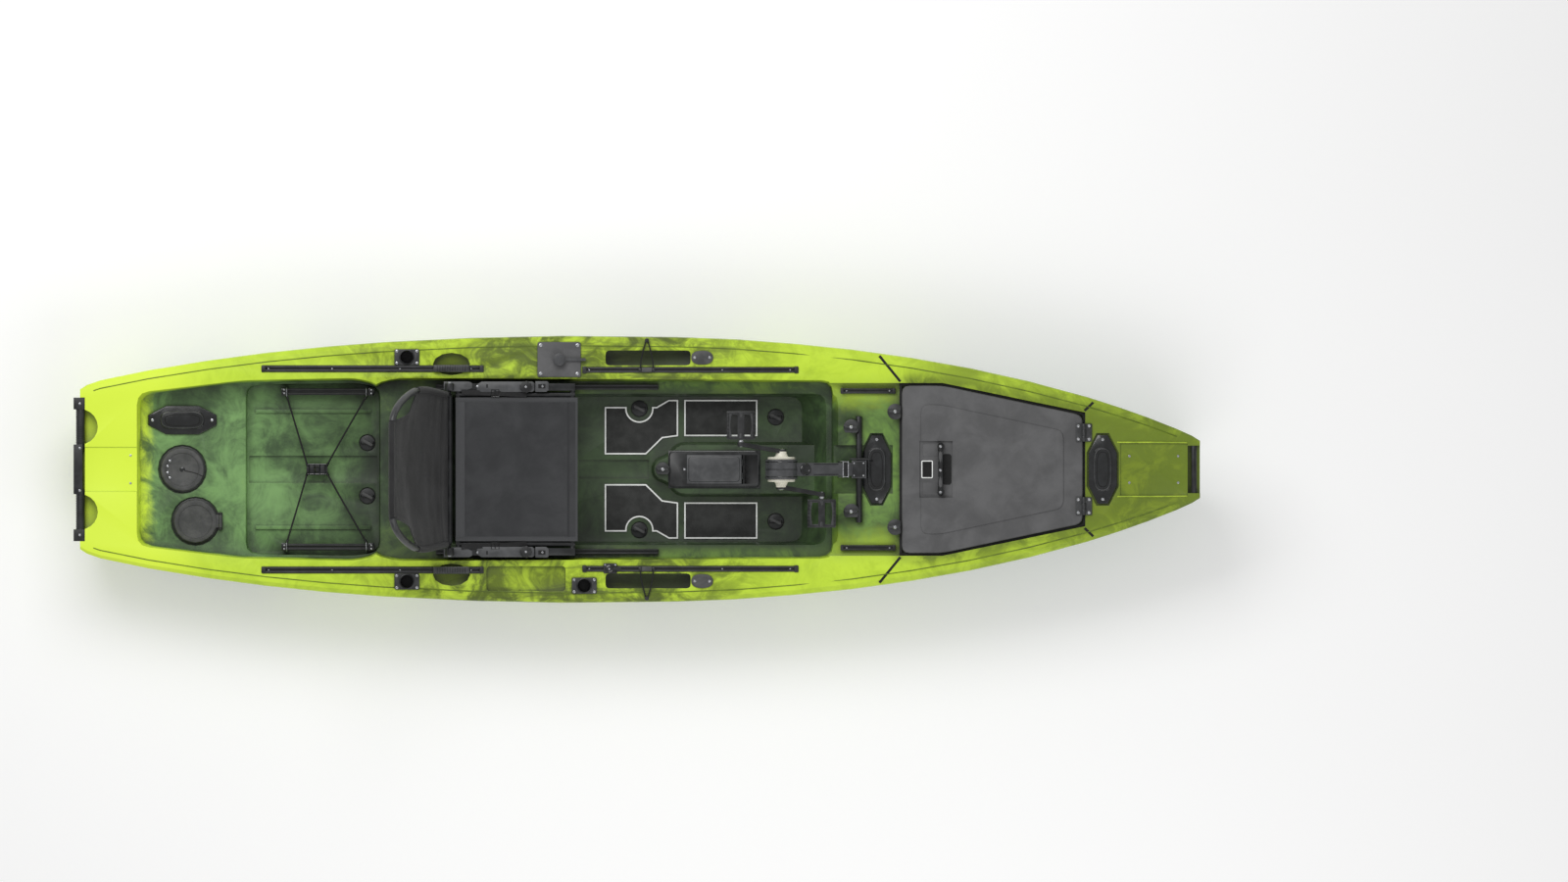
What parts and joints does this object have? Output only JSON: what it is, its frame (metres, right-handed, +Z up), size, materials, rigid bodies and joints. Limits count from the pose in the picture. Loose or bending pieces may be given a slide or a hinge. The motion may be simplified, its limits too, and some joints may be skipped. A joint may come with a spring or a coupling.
{
  "type": "fishing kayak",
  "caption": "Sit-on-top fishing kayak with a pedal drive, a sliding frame seat, gear tracks, rod holders, hatches and an open tank well.",
  "frame": {"origin": "under the middle of the kayak, at the lowest level of the keel", "axes": "+X towards the bow, +Y to port, +Z up"},
  "size_m": [3.81, 0.905, 0.751],
  "materials": {
    "hull_plastic": "satin rotomoulded polyethylene, lime green with darker green streaks",
    "black_plastic": "moulded black",
    "grey_plastic": "grained dark grey",
    "bare_metal": "black coated tube",
    "seat_cloth": "open woven mesh",
    "cord": "braided shock cord",
    "foam_pad": "grooved foam"
  },
  "bodies": {
    "hull": {"hull": "hull_plastic", "hinge_port_fixed_leaf": "black_plastic", "hinge_starboard_fixed_leaf": "black_plastic", "drive_crossbar": "bare_metal", "console_tray": "black_plastic", "gunwale_track_aft_port": "black_plastic", "gunwale_track_fore_port": "black_plastic", "bow_track_port": "black_plastic", "tankwell_track_port": "black_plastic", "seat_rail_port": "black_plastic", "gunwale_track_aft_starboard": "black_plastic", "gunwale_track_fore_starboard": "black_plastic", "bow_track_starboard": "black_plastic", "tankwell_track_starboard": "black_plastic", "seat_rail_starboard": "black_plastic", "rod_holder_aft_port": "black_plastic", "rod_holder_aft_starboard": "black_plastic", "rod_holder_middle_starboard": "black_plastic", "steering_plate": "black_plastic", "foot_pad_rear_port": "foam_pad", "foot_pad_rear_starboard": "foam_pad", "foot_pad_fore_port": "foam_pad", "foot_pad_fore_starboard": "foam_pad", "hatch_ring_center": "black_plastic", "hatch_ring_side": "black_plastic", "access_port_aft": "black_plastic", "access_port_fore": "black_plastic", "access_port_bow": "black_plastic", "bow_handle": "black_plastic", "stern_handle": "black_plastic", "tankwell_bungee": "cord", "drive_head": "black_plastic"},
    "seat": {"seat_base_frame": "bare_metal", "seat_fabric": "seat_cloth"},
    "backrest": {"backrest_frame": "bare_metal", "backrest_fabric": "seat_cloth"},
    "cranks": {"crank_set": "bare_metal"},
    "pedal_port": {"pedal_port": "black_plastic"},
    "pedal_starboard": {"pedal_starboard": "black_plastic"},
    "leg": {"drive_leg": "black_plastic"},
    "propeller": {"propeller": "black_plastic"},
    "bow_lid": {"bow_hatch_lid": "grey_plastic", "hinge_port_lid_leaf": "black_plastic", "hinge_starboard_lid_leaf": "black_plastic"},
    "latch_port": {"hatch_latch_port": "black_plastic"},
    "latch_starboard": {"hatch_latch_starboard": "black_plastic"},
    "clamp_port": {"drive_clamp_port": "black_plastic"},
    "clamp_starboard": {"drive_clamp_starboard": "black_plastic"},
    "tray_latch": {"tray_latch": "black_plastic"},
    "console_lid": {"console_lid": "black_plastic"},
    "center_lid": {"hatch_lid_center": "grey_plastic"},
    "side_lid": {"hatch_lid_side": "black_plastic"},
    "plug_tank_port": {"scupper_plug_tank_port": "black_plastic"},
    "plug_tank_starboard": {"scupper_plug_tank_starboard": "black_plastic"},
    "plug_rear_port": {"scupper_plug_rear_port": "black_plastic"},
    "plug_rear_starboard": {"scupper_plug_rear_starboard": "black_plastic"},
    "plug_fore_port": {"scupper_plug_fore_port": "black_plastic"},
    "plug_fore_starboard": {"scupper_plug_fore_starboard": "black_plastic"},
    "steering": {"steering_lever": "black_plastic"},
    "rudder": {"rudder": "black_plastic"}
  },
  "joints": [
    {"name": "seat_slide", "type": "slide", "parent": "hull", "child": "seat", "axis": [1, 0, 0], "range_m": [-0.06, 0.25]},
    {"name": "backrest_fold", "type": "hinge", "parent": "seat", "child": "backrest", "pos_m": [-0.632, 0, 0.352], "axis": [0, 1, 0], "range_deg": [0, 108]},
    {"name": "crank_spin", "type": "hinge", "parent": "hull", "child": "cranks", "pos_m": [0.49, 0, 0.412], "axis": [0, 1, 0], "continuous": true},
    {"name": "pedal_port_spin", "type": "hinge", "parent": "cranks", "child": "pedal_port", "pos_m": [0.35374, 0.149, 0.46159], "axis": [0, 1, 0], "continuous": true},
    {"name": "pedal_starboard_spin", "type": "hinge", "parent": "cranks", "child": "pedal_starboard", "pos_m": [0.62626, -0.149, 0.36241], "axis": [0, 1, 0], "continuous": true},
    {"name": "leg_kick", "type": "hinge", "parent": "hull", "child": "leg", "pos_m": [0.712, 0, 0.036], "axis": [0, -1, 0], "range_deg": [0, 90]},
    {"name": "propeller_spin", "type": "hinge", "parent": "leg", "child": "propeller", "pos_m": [0.364, 0, 0.08], "axis": [0, 0, 1], "continuous": true},
    {"name": "bow_lid_hinge", "type": "hinge", "parent": "hull", "child": "bow_lid", "pos_m": [1.51267, 0, 0.36971], "axis": [0, 1, 0], "range_deg": [0, 110]},
    {"name": "hatch_latch_port_turn", "type": "hinge", "parent": "hull", "child": "latch_port", "pos_m": [0.8753, 0.19535, 0.33174], "axis": [-0.0565, 0, 0.9984], "range_deg": [0, 90]},
    {"name": "drive_clamp_port_turn", "type": "hinge", "parent": "hull", "child": "clamp_port", "pos_m": [0.7271, 0.143, 0.31334], "axis": [-0.0565, 0, 0.9984], "range_deg": [0, 90]},
    {"name": "hatch_latch_starboard_turn", "type": "hinge", "parent": "hull", "child": "latch_starboard", "pos_m": [0.8753, -0.19535, 0.33174], "axis": [-0.0565, 0, 0.9984], "range_deg": [0, 90]},
    {"name": "drive_clamp_starboard_turn", "type": "hinge", "parent": "hull", "child": "clamp_starboard", "pos_m": [0.7271, -0.143, 0.31334], "axis": [-0.0565, 0, 0.9984], "range_deg": [0, 90]},
    {"name": "tray_latch_turn", "type": "hinge", "parent": "hull", "child": "tray_latch", "pos_m": [0.088, 0, 0.185], "axis": [0, 0, 1], "range_deg": [0, 90]},
    {"name": "console_lid_hinge", "type": "hinge", "parent": "hull", "child": "console_lid", "pos_m": [0.355, 0, 0.182], "axis": [0, 1, 0], "range_deg": [0, 100]},
    {"name": "center_lid_turn", "type": "hinge", "parent": "hull", "child": "center_lid", "pos_m": [-1.54, 0, 0.215], "axis": [0, 0, 1], "range_deg": [0, 90]},
    {"name": "side_lid_hinge", "type": "hinge", "parent": "hull", "child": "side_lid", "pos_m": [-1.411, -0.176, 0.2238], "axis": [0, 1, 0], "range_deg": [0, 120]},
    {"name": "plug_tank_port_lift", "type": "slide", "parent": "hull", "child": "plug_tank_port", "axis": [0, 0, 1], "range_m": [0, 0.045]},
    {"name": "plug_tank_starboard_lift", "type": "slide", "parent": "hull", "child": "plug_tank_starboard", "axis": [0, 0, 1], "range_m": [0, 0.045]},
    {"name": "plug_rear_port_lift", "type": "slide", "parent": "hull", "child": "plug_rear_port", "axis": [0, 0, 1], "range_m": [0, 0.045]},
    {"name": "plug_rear_starboard_lift", "type": "slide", "parent": "hull", "child": "plug_rear_starboard", "axis": [0, 0, 1], "range_m": [0, 0.045]},
    {"name": "plug_fore_port_lift", "type": "slide", "parent": "hull", "child": "plug_fore_port", "axis": [0, 0, 1], "range_m": [0, 0.045]},
    {"name": "plug_fore_starboard_lift", "type": "slide", "parent": "hull", "child": "plug_fore_starboard", "axis": [0, 0, 1], "range_m": [0, 0.045]},
    {"name": "steering_turn", "type": "hinge", "parent": "hull", "child": "steering", "pos_m": [-0.262, 0.3715, 0.33], "axis": [0, 0, 1], "range_deg": [-50, 50]},
    {"name": "rudder_turn", "type": "hinge", "parent": "hull", "child": "rudder", "pos_m": [-1.723, 0, 0.1], "axis": [0, 0, 1], "range_deg": [-35, 35]}
  ],
  "couplings": [
    {"joint": "propeller_spin", "follows": "crank_spin", "ratio": -10},
    {"joint": "rudder_turn", "follows": "steering_turn", "ratio": 0.7}
  ]
}
